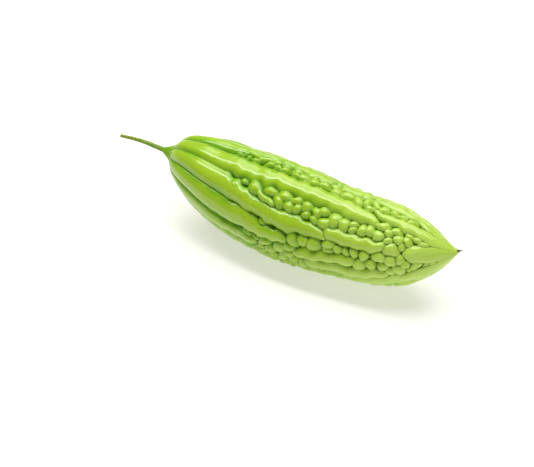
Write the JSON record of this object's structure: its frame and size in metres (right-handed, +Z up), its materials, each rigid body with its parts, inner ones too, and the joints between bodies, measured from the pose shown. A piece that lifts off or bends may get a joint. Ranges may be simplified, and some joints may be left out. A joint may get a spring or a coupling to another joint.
{
  "type": "bitter gourd",
  "caption": "Whole bitter gourd lying on its side, with lengthwise ribs, beaded grooves, a thin cut stem and a dried blossom tip.",
  "frame": {"origin": "on the floor the gourd lies on, under the middle of the whole object's bounding box", "axes": "+X runs from the stem to the blossom end, +Z up; -Y is the side that the reference view sees"},
  "size_m": [0.3034, 0.0764, 0.0761],
  "materials": {
    "green_skin": "waxy, glossy, slightly translucent green skin; paler on the crests and deeper green in the grooves",
    "green_stem": "fibrous olive-green stem with a pale cut end",
    "dried_blossom": "dry dark brown remnant of the blossom"
  },
  "bodies": {
    "root": {"fruit": "green_skin", "stem": "green_stem", "blossom_remnant": "dried_blossom"}
  },
  "joints": []
}
